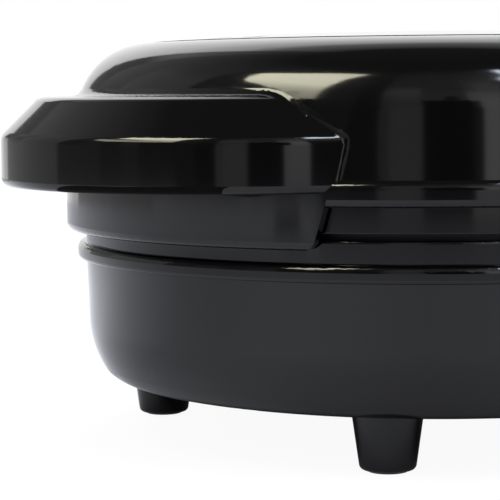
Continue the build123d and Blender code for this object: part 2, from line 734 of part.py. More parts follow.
for k in (-2, -1, 0, 1, 2):
    x = k * handle_rib_pitch
    lid_shell += cavity & above_floor & box(x - handle_rib / 2, x + handle_rib / 2, -beyond, 0, 0, beyond)
handle_boss_x = handle_boss_pitches * handle_rib_pitch
inner_front = handle_centre_y - math.sqrt((handle_r - handle_wall) ** 2 - handle_boss_x ** 2)
lip_front = -math.sqrt(lip_r ** 2 - handle_boss_x ** 2)
handle_boss_y = (inner_front + lip_front) / 2
for side in (-1, 1):
    here = Pos(side * handle_boss_x, handle_boss_y, 0)
    lid_shell += cavity & above_floor & here * disc(handle_boss_r, 0, handle_top_z)
    lid_shell -= here * disc(clamp_screw[0], 0, handle_bottom_z + handle_boss_bore)
recess_z = crown_z - panel_thickness
above_z = crown_z + panel_thickness
lid_shell -= lathe([(0, above_z), (crown_r, above_z), (crown_r, crown_edge_z - panel_thickness),
                    (crown_flat_r, recess_z), (0, recess_z)],
                   [0, 0, 0, crown_round, 0])
lid_seat_z = lid_top_under_z - lid_screw_seat
for angle in post_angles:
    here = spot(post_circle_r, angle)
    lid_shell += here * disc(boss_r, upper_reflector_z, lid_top_under_z + lid_top_wall / 3)
    lid_shell -= here * disc(shank_r + hole_play, upper_reflector_z, crown_z)
    lid_shell -= here * disc(counterbore_r, lid_seat_z, crown_z)
for side in (-1, 1):
    lid_shell -= Pos(side * lens_x, lens_y, 0) * disc(lens_r, lid_top_under_z - lens_flange, crown_z)
lid_shell -= rod_x(pin_r + pin_clearance, -ear_outer_x, ear_outer_x, hinge_y, hinge_z)
parts["lid_shell"] = lid_shell

# Crown panel, which hides the lid's case screws
panel_r = crown_r - panel_gap
panel_edge_z = crown_edge_z + panel_gap * crown_drop / (crown_r - crown_flat_r)
panel = lathe([(0, recess_z), (crown_flat_r, recess_z), (panel_r, panel_edge_z - panel_thickness),
               (panel_r, panel_edge_z), (crown_flat_r, crown_z), (0, crown_z)],
              [0, crown_round, 0, panel_edge_round, crown_round, 0])
for side in (-1, 1):
    panel -= Pos(side * lens_x, lens_y, 0) * disc(lens_r, 0, crown_z)
parts["crown_panel"] = panel

lid_screws = []
for angle in post_angles:
    lid_screws.append(spot(post_circle_r, angle) * case_screw_solid(lid_seat_z,
                                                                    parting_z + reflector_drop - screw_bite))
parts["lid_screws"] = Compound(lid_screws)

# Handle cover, which closes the hollow handle from below, and its countersunk screws
shank, head, height = clamp_screw
sink = Pos(0, 0, handle_bottom_z) * Cone(head, shank, height, align=(Align.CENTER, Align.CENTER, Align.MIN))
cover_plate = handle_front & (at_handle * disc(handle_r - handle_wall, handle_bottom_z, floor_top_z))
cover_plate -= disc(lip_r, 0, lid_side_z)
handle_screws = []
for side in (-1, 1):
    here = Pos(side * handle_boss_x, handle_boss_y, 0)
    cover_plate -= here * disc(shank, 0, crown_z)
    cover_plate -= here * sink
    handle_screws.append(here * (disc(shank, handle_bottom_z, handle_bottom_z + handle_screw_length) + sink))
parts["handle_cover"] = cover_plate
parts["handle_screws"] = Compound(handle_screws)

# Indicator lenses in the crown and their lamps
holder_x, holder_y = holder_half
holder = box(-holder_x, holder_x, lens_y - holder_y, lens_y + holder_y, holder_bottom_z, lid_top_under_z)
lamps = []
for name, side in (("power_lens", -1), ("ready_lens", 1)):
    here = Pos(side * lens_x, lens_y, 0)
    lens_top = crown_edge_z + lens_proud
    flange_z = lid_top_under_z - lens_flange
    lens = disc(lens_r, lid_top_under_z, lens_top) + disc(lens_flange_r, flange_z, lid_top_under_z)
    lens -= disc(lens_r - lens_wall, 0, lens_top - lens_wall)
    parts[name] = here * lens
    holder -= here * disc(lens_flange_r, flange_z, crown_z)
    holder -= here * disc(lamp_r, 0, crown_z)
    lamps.append(here * disc(lamp_r, holder_bottom_z, lid_top_under_z - lamp_air))
parts["lamp_holder"] = holder
parts["lamps"] = Compound(lamps)

# The whole is centred front to back, then written out
front_reach = handle_r - handle_centre_y
rear_reach = hinge_y + knuckle_r
centring = Pos(0, (front_reach - rear_reach) / 2, 0)
os.makedirs("parts", exist_ok=True)
for name, shape in parts.items():
    export_step(centring * shape, f"parts/{name}.step")
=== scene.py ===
# %% [markdown]
# # Countertop omelette maker
# The object is a round cooker that bakes an egg in two half-moon wells: a base on four conical
# feet, and a hinged lid with a moulded handle. The steps below give every solid the finish of
# the real material, add the small pieces that a CAD model leaves plain, and light it all as in a
# small product studio.

# %% Load the CAD frame
import bmesh
import bpy
import math
from mathutils import Matrix, Vector


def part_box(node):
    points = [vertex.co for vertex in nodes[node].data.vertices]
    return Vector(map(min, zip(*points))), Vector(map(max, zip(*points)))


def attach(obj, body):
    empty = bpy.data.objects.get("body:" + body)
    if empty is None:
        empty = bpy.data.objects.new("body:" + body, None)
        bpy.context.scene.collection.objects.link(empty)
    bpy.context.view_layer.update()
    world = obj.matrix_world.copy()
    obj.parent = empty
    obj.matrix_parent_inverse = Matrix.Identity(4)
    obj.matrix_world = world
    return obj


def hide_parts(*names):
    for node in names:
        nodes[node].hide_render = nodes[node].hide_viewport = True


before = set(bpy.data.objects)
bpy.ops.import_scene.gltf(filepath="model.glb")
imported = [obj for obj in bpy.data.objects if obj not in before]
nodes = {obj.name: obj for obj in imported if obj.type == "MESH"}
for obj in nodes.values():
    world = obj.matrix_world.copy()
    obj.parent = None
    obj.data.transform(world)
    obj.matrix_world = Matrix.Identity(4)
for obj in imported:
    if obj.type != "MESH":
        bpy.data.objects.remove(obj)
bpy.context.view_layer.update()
print("CAD nodes:", len(nodes))

# %% [markdown]
# Every later step measures from the CAD solids, so that nothing has to be typed twice. The body's
# upright axis is the middle of the base frame ring.

# %% Measures taken from the frame
MM = 0.001
ring_low, ring_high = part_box("base_frame")
body_axis = Vector(((ring_low.x + ring_high.x) / 2, (ring_low.y + ring_high.y) / 2, 0.0))
print("body axis at y =", round(body_axis.y / MM, 2), "mm")


# %% [markdown]
# A colour is written as the hex value that a picture editor shows. Blender's shaders work in
# linear light, so one function turns the hex text into linear numbers. A second small function
# adds a shader node, sets its inputs and links it, which keeps each material short enough to read.

# %% Colour and node helpers
def srgb(text):
    """Linear RGBA of a hex sRGB colour such as 1a1a1c."""
    values = [int(text[i:i + 2], 16) / 255 for i in (0, 2, 4)]
    return [v / 12.92 if v <= 0.04045 else ((v + 0.055) / 1.055) ** 2.4 for v in values] + [1.0]


def add_node(tree, kind, links=(), **settings):
    """A new node. links are (input, output socket) pairs; a setting named after an input sets it."""
    node = tree.nodes.new(kind)
    for name, value in settings.items():
        label = name.replace("_", " ")
        matching = [s for s in node.inputs if s.name.lower() == label]
        if matching:
            matching[0].default_value = value
        else:
            setattr(node, name, value)
    for name, socket in links:
        tree.links.new(socket, node.inputs[name])
    return node


def new_material(name, colour, roughness, ior=1.5, metallic=0.0):
    """Material with one Principled shader. Returns the material, its node tree and the shader."""
    material = bpy.data.materials.new(name)
    material.use_nodes = True
    tree = material.node_tree
    shader = tree.nodes["Principled BSDF"]
    shader.inputs["Base Color"].default_value = srgb(colour)
    shader.inputs["Roughness"].default_value = roughness
    shader.inputs["IOR"].default_value = ior
    shader.inputs["Metallic"].default_value = metallic
    return material, tree, shader


def paint(material, *names):
    """Gives each CAD node one material."""
    for name in names:
        mesh = nodes[name].data
        mesh.materials.clear()
        mesh.materials.append(material)
    print(material.name, "on", ", ".join(names))


# %% [markdown]
# No real surface is quite flat or even. Noise on a piece's own coordinates, which are in metres,
# has hills about as far apart as the spacing that it is given, so each pattern follows from a real
# size. The noise then stands out as a shallow relief, or it lets the colour wander between two
# tones. A photographed texture could do the same, but it would need a picture file.

# %% Noise, relief and tones of a surface
TONE_RANGE = (0.35, 0.65)    # where most heights of the noise lie


def hills(tree, spacing, detail=2.0, stretch=(1, 1, 1)):
    """Heights from 0 to 1 on the piece's own coordinates, with hills about that far apart."""
    place = add_node(tree, "ShaderNodeTexCoord")
    scaled = add_node(tree, "ShaderNodeMapping", [("Vector", place.outputs["Object"])])
    scaled.inputs["Scale"].default_value = stretch
    noise = add_node(tree, "ShaderNodeTexNoise", [("Vector", scaled.outputs["Vector"])],
                     scale=1 / spacing, detail=detail)
    return noise.outputs["Fac"]


def give_relief(tree, shader, heights, strength, depth):
    """Lets the heights stand out as a relief of that depth."""
    relief = add_node(tree, "ShaderNodeBump", [("Height", heights)], strength=strength,
                      distance=depth)
    tree.links.new(relief.outputs["Normal"], shader.inputs["Normal"])


def give_tones(tree, shader, heights, dark, light):
    """Lets the colour wander between two tones with the heights."""
    tones = add_node(tree, "ShaderNodeValToRGB", [("Fac", heights)])
    for element, position, colour in zip(tones.color_ramp.elements, TONE_RANGE, (dark, light)):
        element.position = position
        element.color = srgb(colour)
    tree.links.new(tones.outputs["Color"], shader.inputs["Base Color"])


# %% [markdown]
# The housing is ABS, injection moulded in a polished tool and coloured black right through. A
# polished tool leaves a mirror-like skin whose reflections are a little soft and slightly wavy,
# because the plastic shrinks unevenly as it cools. So the shader is nearly black with a low
# roughness, and a very weak noise, with hills about 30 mm apart, bends the reflections a little.

# %% Gloss black ABS
SINK_SPACING = 30 * MM
gloss_abs, tree, shader = new_material("gloss_black_abs", "050506", roughness=0.09, ior=1.53)
give_relief(tree, shader, hills(tree, SINK_SPACING, detail=1.0), strength=0.02, depth=1 * MM)
paint(gloss_abs, "lid_shell", "lid_frame", "crown_panel", "base_shell", "base_frame",
      "handle_cover", "foot_front_left", "foot_front_right", "foot_rear_left", "foot_rear_right")

# %% [markdown]
# The plates are die-cast aluminium with a sprayed non-stick coat. Sprayed coats dry to a satin
# black with a fine orange-peel grain, which breaks up highlights. The grain is about half a
# millimetre, so it is drawn at 1 mm, twice its real size, or else it would not show.

# %% Non-stick coat
PEEL_SPACING = 1 * MM
coat, tree, shader = new_material("sprayed_nonstick", "1b1b1c", roughness=0.38, ior=1.4)
give_relief(tree, shader, hills(tree, PEEL_SPACING), strength=0.25, depth=0.1 * MM)
paint(coat, "lower_plate", "upper_plate")

# %% [markdown]
# Inside, and under the base, the parts are plain industrial stock, each with the trace of how it
# was made. Electroplated zinc shows as a cold grey, a little mottled by its fine crystals. The
# heater's drawn steel sheath has been annealed, which leaves it dull and tinted from straw to
# blue-grey, over stretches of a centimetre or so. The reflector and the fuse cans are rolled
# aluminium, bright, with fine lines along the rolling direction. The real crystals, grain and
# lines are too fine to show, so they are drawn at about a millimetre.

# %% Inner metals
CRYSTALS, HEAT_TINT, DRAWN_GRAIN, ROLLING_LINE = 1.5 * MM, 14 * MM, 0.8 * MM, 0.7 * MM
ALONG_Y = (1, 0.03, 1)
zinc, tree, shader = new_material("zinc_plated_steel", "b8b9b6", roughness=0.32, metallic=1.0)
crystals = hills(tree, CRYSTALS)
give_tones(tree, shader, crystals, "aeafae", "c2c3c0")
give_relief(tree, shader, crystals, strength=0.10, depth=0.05 * MM)
paint(zinc, "lower_heater_clamps", "upper_heater_clamps", "lower_clamp_screws",
      "upper_clamp_screws", "foot_screws", "base_screws", "lid_screws", "handle_screws",
      "hinge_pin")
sheath, tree, shader = new_material("annealed_steel_sheath", "6f675c", roughness=0.5, metallic=1.0)
give_tones(tree, shader, hills(tree, HEAT_TINT), "5c5e63", "7f705a")
give_relief(tree, shader, hills(tree, DRAWN_GRAIN), strength=0.15, depth=0.05 * MM)
paint(sheath, "lower_heater", "upper_heater")
rolled, tree, shader = new_material("rolled_aluminium", "d5d6d6", roughness=0.25, metallic=1.0)
lines = hills(tree, ROLLING_LINE, stretch=ALONG_Y)
give_relief(tree, shader, lines, strength=0.12, depth=0.03 * MM)
paint(rolled, "lower_reflector", "upper_reflector", "thermal_fuse", "upper_thermal_fuse")

# %% [markdown]
# The thermostat, the terminal block and the lamp holder are steatite, a pressed and fired ceramic
# without glaze: off-white, matt and finely grained. The pads under the feet and the cord's bush
# are moulded rubber, whose tool was spark eroded, so that the skin is matt with a fine even grain.
# Both grains are drawn a few times coarser than the real ones, or else they would not show.

# %% Ceramic and rubber
PRESSED_GRAIN, SPARK_GRAIN = 0.8 * MM, 0.6 * MM
steatite, tree, shader = new_material("steatite_ceramic", "e4dfd2", roughness=0.6)
pressed = hills(tree, PRESSED_GRAIN)
give_tones(tree, shader, pressed, "dcd5c5", "e9e5da")
give_relief(tree, shader, pressed, strength=0.20, depth=0.05 * MM)
paint(steatite, "thermostat", "terminal_block", "lamp_holder")
rubber, tree, shader = new_material("moulded_rubber", "161616", roughness=0.75)
give_relief(tree, shader, hills(tree, SPARK_GRAIN), strength=0.30, depth=0.05 * MM)
paint(rubber, "foot_pads", "cord_gland")

# %% [markdown]
# The two indicator lenses are injection-moulded polycarbonate, tinted so deep that they are almost
# black until the lamps behind them light up. The transmission weight gives them their glassy
# depth, and a weak wave the look of a moulded face. The lamps are small bulbs of clear blown
# glass, whose wall is never quite even.

# %% Finish of the lenses and lamps
MOULDED_WAVE, BLOWN_WAVE = 3 * MM, 2 * MM
for name, colour in (("power_lens", "3a0d08"), ("ready_lens", "0b2410")):
    use = name.split("_")[0]
    lens, tree, shader = new_material("tinted_polycarbonate_" + use, colour, roughness=0.12,
                                      ior=1.585)
    shader.inputs["Transmission Weight"].default_value = 0.45
    wave = hills(tree, MOULDED_WAVE, detail=1.0)
    give_relief(tree, shader, wave, strength=0.03, depth=0.2 * MM)
    paint(lens, name)
glass, tree, shader = new_material("blown_lamp_glass", "f2ece0", roughness=0.05, ior=1.5)
shader.inputs["Transmission Weight"].default_value = 0.8
give_relief(tree, shader, hills(tree, BLOWN_WAVE, detail=1.0), strength=0.05, depth=0.1 * MM)
paint(glass, "lamps")

# %% [markdown]
# The small pieces below are modelled in Blender. They all need the same few steps: start with
# nothing selected, pick faces by where they look, and at the end put the object's place into its
# mesh, smooth it, give it its material and let it ride on its body. So each step is one short
# function.

# %% Helpers for modelling
CREASE = math.radians(30)    # edges sharper than this stay sharp when the piece is smoothed
FACING = 0.9                 # how nearly upright the normal of a picked face has to be


def deselect_all():
    """An operator acts on all that is selected, so each piece starts with nothing selected."""
    bpy.ops.object.select_all(action="DESELECT")


def make_active(piece):
    """Selects one piece and nothing else, so that the next operator acts on it."""
    deselect_all()
    piece.select_set(True)
    bpy.context.view_layer.objects.active = piece


def pick_faces(piece, direction):
    """In edit mode, selects the faces that look up (1) or down (-1), and no others."""
    bpy.ops.mesh.select_all(action="DESELECT")
    mesh = bmesh.from_edit_mesh(piece.data)
    for face in mesh.faces:
        if face.normal.z * direction > FACING:
            face.select_set(True)
    bmesh.update_edit_mesh(piece.data)


def push_up(height):
    """In edit mode, extrudes what is selected by that height."""
    bpy.ops.mesh.extrude_region_move(TRANSFORM_OT_translate={"value": (0, 0, height)})


def widen(share, centre):
    """In edit mode, scales what is selected across, round that centre."""
    bpy.ops.transform.resize(value=(share, share, 1), center_override=centre)


def settle(piece, name, material, body):
    """Last steps of a piece: its place goes into its mesh, then smoothing, finish and body."""
    make_active(piece)
    bpy.ops.object.transform_apply(location=True, rotation=True, scale=True)
    bpy.ops.object.shade_smooth_by_angle(angle=CREASE)
    piece.name = piece.data.name = name
    piece.data.materials.clear()
    piece.data.materials.append(material)
    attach(piece, body)
    print(name, "has", len(piece.data.polygons), "faces")


# %% [markdown]
# The crown is a separate disc let into the lid. Its edge shows as a fine dark line with a bright
# one under it, because the disc stands a little proud and its edge is a low step. The step is only
# a tenth of a millimetre high. It could be cut into the disc, but a CAD mesh is never changed, so
# it is a ring of its own that lies on the disc's edge. The ring starts as a circle, and its edge
# is pushed out one profile point after another, as on a lathe, until it meets itself. Its height
# comes from the disc's own outermost points.

# %% Height of the crown disc
crown_low, crown_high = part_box("crown_panel")
crown_middle = (crown_low + crown_high) / 2
crown_radius = (crown_high.x - crown_low.x) / 2


def crown_height(radius, band=1.0 * MM):
    """Height of the crown disc at about that distance from its middle."""
    points = [v.co for v in nodes["crown_panel"].data.vertices]
    return max(p.z for p in points
               if abs(math.hypot(p.x - crown_middle.x, p.y - crown_middle.y) - radius) < band)


edge_z = crown_height(crown_radius)
print("crown disc: radius", round(crown_radius / MM, 2), "mm, edge at z", round(edge_z / MM, 2))

# %% Step round the crown disc
STEP_HEIGHT, STEP_WIDTH, STEP_ROUND = 0.1 * MM, 2.6 * MM, 0.03 * MM
BURIED, OVERHANG, INNER_LIFT = 0.25 * MM, 0.1 * MM, 0.02 * MM
CROWN_SLOPE = 0.06           # how much the disc rises for each length inwards
RING_POINTS = 256
outer = crown_radius + OVERHANG
inner = crown_radius - STEP_WIDTH
inner_z = edge_z + STEP_WIDTH * CROWN_SLOPE
step_profile = [(outer, edge_z - BURIED),
                (outer, edge_z + STEP_HEIGHT - STEP_ROUND),
                (outer - STEP_ROUND, edge_z + STEP_HEIGHT),
                (inner, inner_z + INNER_LIFT),
                (inner, inner_z - BURIED),
                (outer, edge_z - BURIED)]
deselect_all()
start_radius, start_z = step_profile[0]
ring_centre = Vector((crown_middle.x, crown_middle.y, start_z))
bpy.ops.mesh.primitive_circle_add(vertices=RING_POINTS, radius=start_radius, location=ring_centre)
crown_step = bpy.context.active_object
bpy.ops.object.mode_set(mode="EDIT")
bpy.ops.mesh.select_all(action="SELECT")
for (radius, z), (next_radius, next_z) in zip(step_profile, step_profile[1:]):
    push_up(next_z - z)
    widen(next_radius / radius, ring_centre)
bpy.ops.mesh.select_all(action="SELECT")
bpy.ops.mesh.remove_doubles(threshold=0.001 * MM)
bpy.ops.mesh.normals_make_consistent(inside=False)
bpy.ops.object.mode_set(mode="OBJECT")
settle(crown_step, "crown_step", gloss_abs, "lid")

# %% [markdown]
# The two indicator lenses are clicked in from inside the lid, so each has a flange under the crown
# and a window that fills its hole. The crown slopes there, and the window follows the slope, so
# that nothing stands out. Two cylinders joined by a boolean could make one, but a lens that grows
# out of its flange is one clean closed mesh. So the window is inset and pushed up from the flange,
# its top is tilted by the crown's slope, its rim is rounded, and it is hollowed from below for the
# lamp.

# %% Indicator lenses
WINDOW_RADIUS, LENS_WALL, LENS_RIM = 3.9 * MM, 1.2 * MM, 0.25 * MM
LENS_POINTS = 64
for name, slot in (("power_lens", "lens_red"), ("ready_lens", "lens_green")):
    low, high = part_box(name)
    middle = (low + high) / 2
    flange_radius = (high.x - low.x) / 2
    reach = Vector((middle.x - crown_middle.x, middle.y - crown_middle.y, 0))
    near = crown_height(reach.length - WINDOW_RADIUS)
    far = crown_height(reach.length + WINDOW_RADIUS)
    slope = math.atan2(near - far, 2 * WINDOW_RADIUS)
    top_z = (near + far) / 2
    flange_middle = Vector((middle.x, middle.y, low.z + LENS_WALL / 2))
    deselect_all()
    bpy.ops.mesh.primitive_cylinder_add(vertices=LENS_POINTS, radius=flange_radius,
                                        depth=LENS_WALL, location=flange_middle)
    lens = bpy.context.active_object
    bpy.ops.object.mode_set(mode="EDIT")
    pick_faces(lens, 1)
    bpy.ops.mesh.inset(thickness=flange_radius - WINDOW_RADIUS)
    push_up(top_z - low.z - LENS_WALL)
    turn_top = Matrix.Rotation(slope, 4, Vector((0, 0, 1)).cross(reach).normalized())
    mesh = bmesh.from_edit_mesh(lens.data)
    top_middle = Vector((0, 0, top_z - flange_middle.z))
    for vertex in {v for face in mesh.faces if face.select for v in face.verts}:
        vertex.co = top_middle + turn_top @ (vertex.co - top_middle)
    bmesh.update_edit_mesh(lens.data)
    bpy.ops.mesh.bevel(offset=LENS_RIM, segments=3, affect="EDGES")
    pick_faces(lens, -1)
    bpy.ops.mesh.inset(thickness=flange_radius - WINDOW_RADIUS + LENS_WALL)
    push_up(top_z - low.z - 2 * LENS_WALL)
    bpy.ops.object.mode_set(mode="OBJECT")
    settle(lens, name + "_window", nodes[name].data.materials[0], "lid")
    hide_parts(name)

# %% [markdown]
# The screws that hold the base and the handle are the usual zinc-plated ones with a cross recess.
# The base's have flat pan heads, deep in their holes, and the handle's are countersunk. The CAD
# has each as a plain solid, and one node holds all screws of a kind. So the first step is to find
# where they are, from a merged copy of the node that is taken apart.

# %% Where the CAD has its screws
def places_of(node):
    """Lowest and highest corner of each solid in a CAD node."""
    copy = bpy.data.objects.new("taken_apart", nodes[node].data.copy())
    bpy.context.scene.collection.objects.link(copy)
    make_active(copy)
    bpy.ops.object.mode_set(mode="EDIT")
    bpy.ops.mesh.select_all(action="SELECT")
    bpy.ops.mesh.remove_doubles(threshold=0.001 * MM)
    bpy.ops.mesh.separate(type="LOOSE")
    bpy.ops.object.mode_set(mode="OBJECT")
    corners = []
    for piece in list(bpy.context.selected_objects):
        points = [v.co for v in piece.data.vertices]
        corners.append((Vector(map(min, zip(*points))), Vector(map(max, zip(*points)))))
        bpy.data.objects.remove(piece)
    return corners


# %% [markdown]
# A screw starts as a cylinder of the head's size, head down. The rim of a pan head is bevelled,
# while a countersunk head narrows towards the shank. The shank is pushed out of the upper side and
# ends in a short blunt point. The cross is cut by two tapered bars, one after the other. It could
# be drawn as bump, but a cut recess also catches light from the side. Most sizes are shares of
# the head's radius or height, so that one function makes both kinds.

# %% One screw with a cross recess
HEAD_POINTS = 48
HEAD_ROUND = 0.3             # of the head's height
POINT_LENGTH, POINT_SHARE = 1.5 * MM, 0.3
BAR_LENGTH, BAR_WIDTH = 1.15, 0.28      # of the head's radius
RECESS_DEPTH = 0.6           # of the head's height
RECESS_TAPER = 0.45          # size of a bar at the bottom of the cut, as a share of its full size


def cut_bar(screw, centre, low_z, head_radius, head_height, turn):
    """Cuts one bar of the cross into the head."""
    deselect_all()
    bpy.ops.mesh.primitive_cube_add(size=1, location=(centre.x, centre.y, low_z),
                                    rotation=(0, 0, turn))
    cutter = bpy.context.active_object
    cutter.scale = (BAR_LENGTH * head_radius, BAR_WIDTH * head_radius,
                    2 * RECESS_DEPTH * head_height)
    bpy.ops.object.transform_apply(location=False, rotation=False, scale=True)
    bpy.ops.object.mode_set(mode="EDIT")
    pick_faces(cutter, 1)
    widen(RECESS_TAPER, centre)
    bpy.ops.object.mode_set(mode="OBJECT")
    make_active(screw)
    cut = screw.modifiers.new("cross", "BOOLEAN")
    cut.object = cutter
    cut.operation = "DIFFERENCE"
    bpy.ops.object.modifier_apply(modifier=cut.name)
    bpy.data.objects.remove(cutter)


def cross_screw(low, high, head_height, shank_radius, countersunk):
    """Screw that fills the box between two corners, with its head down."""
    head_radius = (high.x - low.x) / 2
    centre = (low + high) / 2
    deselect_all()
    bpy.ops.mesh.primitive_cylinder_add(vertices=HEAD_POINTS, radius=head_radius,
                                        depth=head_height,
                                        location=(centre.x, centre.y, low.z + head_height / 2))
    screw = bpy.context.active_object
    bpy.ops.object.mode_set(mode="EDIT")
    if countersunk:
        pick_faces(screw, 1)
        widen(shank_radius / head_radius, centre)
    else:
        pick_faces(screw, -1)
        bpy.ops.mesh.bevel(offset=HEAD_ROUND * head_height, segments=4, affect="EDGES")
        pick_faces(screw, 1)
        bpy.ops.mesh.inset(thickness=head_radius - shank_radius)
    push_up(high.z - low.z - head_height - POINT_LENGTH)
    push_up(POINT_LENGTH)
    widen(POINT_SHARE, centre)
    bpy.ops.object.mode_set(mode="OBJECT")
    for turn in (0, math.pi / 2):
        cut_bar(screw, centre, low.z, head_radius, head_height, turn)
    return screw


# %% [markdown]
# One screw of each kind is made, then copied to every place where the CAD has one, each copy with
# its own mesh. The CAD node itself is hidden.

# %% Screws of the base and the handle
screw_kinds = [("base_screws", "base", 2.2 * MM, 1.75 * MM, False),
               ("handle_screws", "lid", 1.2 * MM, 1.0 * MM, True)]
for node, body, head_height, shank_radius, countersunk in screw_kinds:
    corners = places_of(node)
    start = (corners[0][0] + corners[0][1]) / 2
    first = cross_screw(*corners[0], head_height, shank_radius, countersunk)
    settle(first, node + "_0", zinc, body)
    for count, (low, high) in enumerate(corners[1:], 1):
        copy = bpy.data.objects.new(f"{node}_{count}", first.data.copy())
        bpy.context.scene.collection.objects.link(copy)
        copy.location = (low + high) / 2 - start
        settle(copy, f"{node}_{count}", zinc, body)
    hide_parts(node)
    print(node, "made at", len(corners), "places")

# %% [markdown]
# The photograph is a close view with the camera a little above the rim, to the front right of the
# object. The camera's place, turn and focal length were found by fitting the ellipses of the two
# rings, the lip and the feet. They are written here as real sizes: how far the camera is from the
# body's axis, its height, and where it looks.

# %% Camera
CAMERA_AZIMUTH = math.radians(52.3)
CAMERA_DISTANCE = 0.620
CAMERA_HEIGHT = 0.1043
LOOK_LEFT = math.radians(5.03)
LOOK_DOWN = math.radians(4.76)
ROLL = math.radians(-0.52)
FOCAL_PIXELS = 2023.5
FRAME_PIXELS = 500
SENSOR = 36.0
towards = Vector((-math.sin(CAMERA_AZIMUTH), math.cos(CAMERA_AZIMUTH), 0))
place = body_axis - CAMERA_DISTANCE * towards + Vector((0, 0, CAMERA_HEIGHT))
level = Matrix.Rotation(LOOK_LEFT, 3, "Z") @ towards
forward = (level * math.cos(LOOK_DOWN) - Vector((0, 0, math.sin(LOOK_DOWN)))).normalized()
flat_right = level.cross(Vector((0, 0, 1))).normalized()
flat_up = flat_right.cross(forward)
right = flat_right * math.cos(ROLL) + flat_up * math.sin(ROLL)
up = flat_up * math.cos(ROLL) - flat_right * math.sin(ROLL)
camera_data = bpy.data.cameras.new("product_camera")
camera_data.sensor_width = SENSOR
camera_data.lens = FOCAL_PIXELS * SENSOR / FRAME_PIXELS
camera = bpy.data.objects.new("product_camera", camera_data)
bpy.context.scene.collection.objects.link(camera)
camera.matrix_world = Matrix((right, up, -forward)).transposed().to_4x4()
camera.location = place
bpy.context.scene.camera = camera
print("camera lens", round(camera_data.lens, 1), "mm at", [round(v, 3) for v in place])


# %% [markdown]
# Gloss black plastic has almost no colour of its own, so what the eye sees on it is the studio
# around it. A picture of a studio wrapped round the scene could be reflected, but cards can be
# placed and set one by one, as in a real studio. Each card stands at a turn counted in degrees
# from the camera, to the left in the picture, and glows at the level that its reflection shows,
# where 1 is white paper. The cards are seen by reflections only, so that any camera looks through
# them and they throw no light or shadow.

# %% Places in the studio
CARD_DISTANCE = 1.2


def studio_point(turn, distance, height):
    """Point at that turn and distance from the body's axis."""
    angle = CAMERA_AZIMUTH - math.radians(turn)
    return body_axis + Vector((math.sin(angle) * distance, -math.cos(angle) * distance, height))


def studio_direction(turn):
    """Level direction from the body's axis towards that turn."""
    return (studio_point(turn, 1.0, 0.0) - body_axis).normalized()


def rise(elevation, distance=CARD_DISTANCE):
    """Height on a card at that elevation in degrees, seen from the floor under the body."""
    return distance * math.tan(math.radians(elevation))


# %% [markdown]
# A card's stock glows by itself, so that it looks the same whatever lamps are on. Its level can
# change with height, along a colour ramp. The ramp's colours are kept between 0 and 1, so all
# levels are divided by the highest one, and the strength of the glow multiplies them back.

# %% Card stock that glows
def ramp_of(tree, value, low, high, stops, tint=(1, 1, 1)):
    """Levels by position between low and high. Returns the ramp and the highest level."""
    scale = max(level for _, level in stops)
    part = add_node(tree, "ShaderNodeMapRange", [("Value", value)], from_min=low, from_max=high)
    ramp = add_node(tree, "ShaderNodeValToRGB", [("Fac", part.outputs["Result"])])
    spots = [(position - low) / (high - low) for position, _ in stops]
    elements = ramp.color_ramp.elements
    elements[0].position = spots[0]
    elements[1].position = spots[-1]
    for spot in spots[1:-1]:
        elements.new(spot)
    for element, (_, level) in zip(elements, stops):
        element.color = tuple(level / scale * share for share in tint) + (1,)
    return ramp, scale


def glow(name, colour, stops):
    """Glowing card stock. One level, or pairs of height and level."""
    material = bpy.data.materials.new(name)
    material.use_nodes = True
    tree = material.node_tree
    tree.nodes.clear()
    if isinstance(stops, (int, float)):
        light = add_node(tree, "ShaderNodeEmission", color=srgb(colour), strength=stops)
    else:
        place = add_node(tree, "ShaderNodeTexCoord")
        split = add_node(tree, "ShaderNodeSeparateXYZ", [("Vector", place.outputs["Object"])])
        top = stops[-1][0]
        levels, scale = ramp_of(tree, split.outputs["Z"], 0.0, top, stops, srgb(colour)[:3])
        light = add_node(tree, "ShaderNodeEmission", [("Color", levels.outputs["Color"])],
                         strength=scale)
    add_node(tree, "ShaderNodeOutputMaterial", [("Surface", light.outputs["Emission"])])
    return material


# %% [markdown]
# A flat card is one face with a straight-edged outline. A bent card is a row of narrow upright
# strips, all at one distance from the object.

# %% Flat and bent cards
CARD_STEP = 3                # degrees of turn to each flat strip of a bent card


def add_card(name, points, faces, material):
    """Card that only reflections see."""
    mesh = bpy.data.meshes.new(name)
    mesh.from_pydata(points, [], faces)
    card = bpy.data.objects.new(name, mesh)
    bpy.context.scene.collection.objects.link(card)
    card.data.materials.append(material)
    card.visible_camera = False
    card.visible_diffuse = False
    card.visible_shadow = False
    print("card", name, "has", len(faces), "faces")


def flat_card(name, corners, material):
    """Card with a straight-edged outline."""
    add_card(name, corners, [tuple(range(len(corners)))], material)


def curved_card(name, turn_from, turn_to, low, high, material, distance=CARD_DISTANCE):
    """Card bent round the object between two turns."""
    steps = max(2, int(abs(turn_to - turn_from) / CARD_STEP))
    points = []
    for step in range(steps + 1):
        turn = turn_from + (turn_to - turn_from) * step / steps
        points += [studio_point(turn, distance, low), studio_point(turn, distance, high)]
    faces = [(2 * step, 2 * step + 1, 2 * step + 3, 2 * step + 2) for step in range(steps)]
    add_card(name, points, faces, material)


# %% [markdown]
# The backdrop sweeps round the left side in the shade and round the back in full light. A dark
# flag with faint folds stands between its left end and the camera. Round the camera there is a
# pale wall, brightest just right of the camera. The right side is dark again. Each card has a
# name, the turns that it reaches between, and its levels as pairs of elevation in degrees and
# level.

